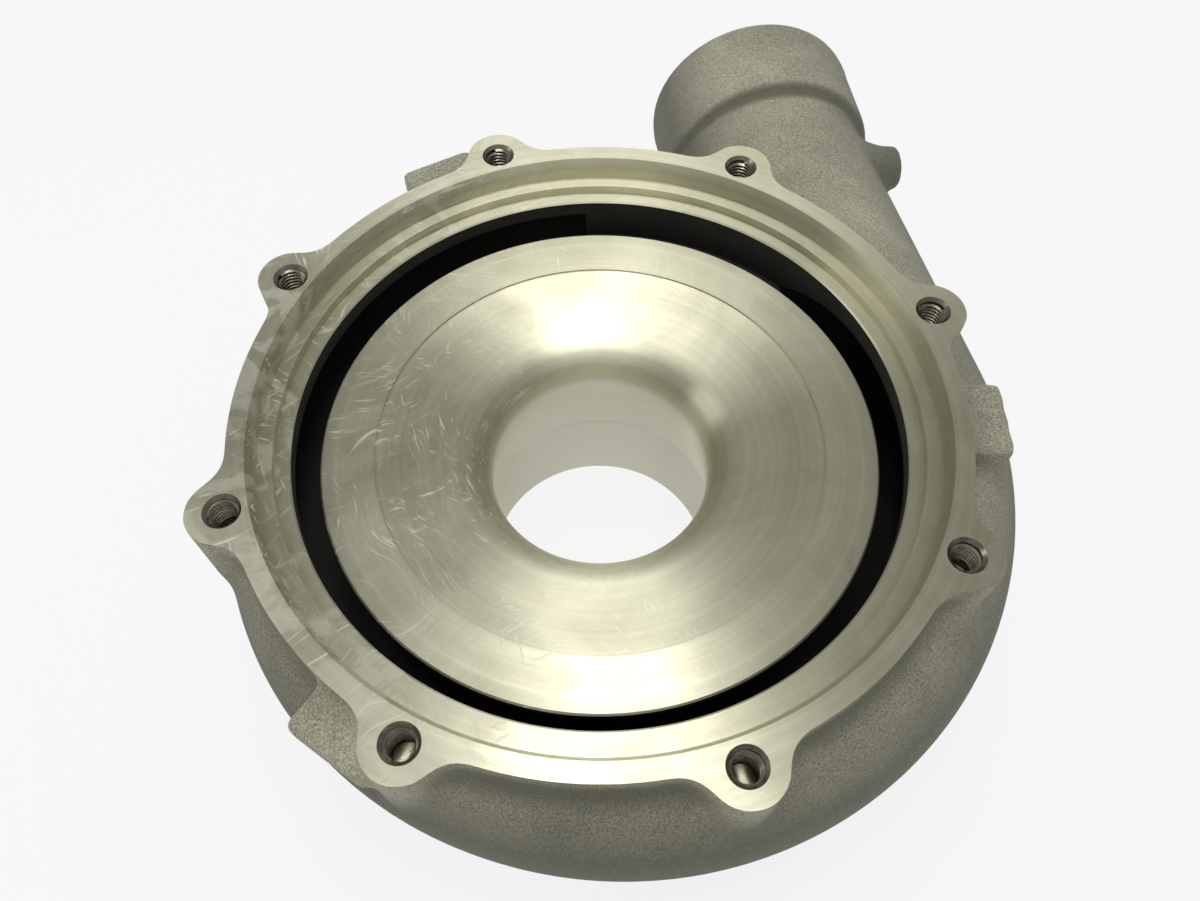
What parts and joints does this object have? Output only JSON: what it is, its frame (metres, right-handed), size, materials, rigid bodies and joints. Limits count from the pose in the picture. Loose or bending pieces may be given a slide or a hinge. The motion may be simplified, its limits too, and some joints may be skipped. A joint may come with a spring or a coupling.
{
  "type": "turbo compressor housing",
  "caption": "Cast aluminium cover of a turbocharger's compressor: a growing scroll round a turned wheel bore, with a hose outlet, a hose inlet and a bolted flange for the backplate.",
  "frame": {"origin": "on the wheel axis, in the plane of the machined flange face, at the centre of the bolt circle", "axes": "+Z out of the flange face along the wheel axis, away from the inlet; +Y the way the outlet points; +X towards the outlet's side"},
  "size_m": [0.232, 0.2743, 0.0962],
  "materials": {
    "aluminium_casting": "sand cast outside, turned inside and on the flange face"
  },
  "bodies": {
    "root": {"compressor_housing": "aluminium_casting"}
  },
  "joints": []
}
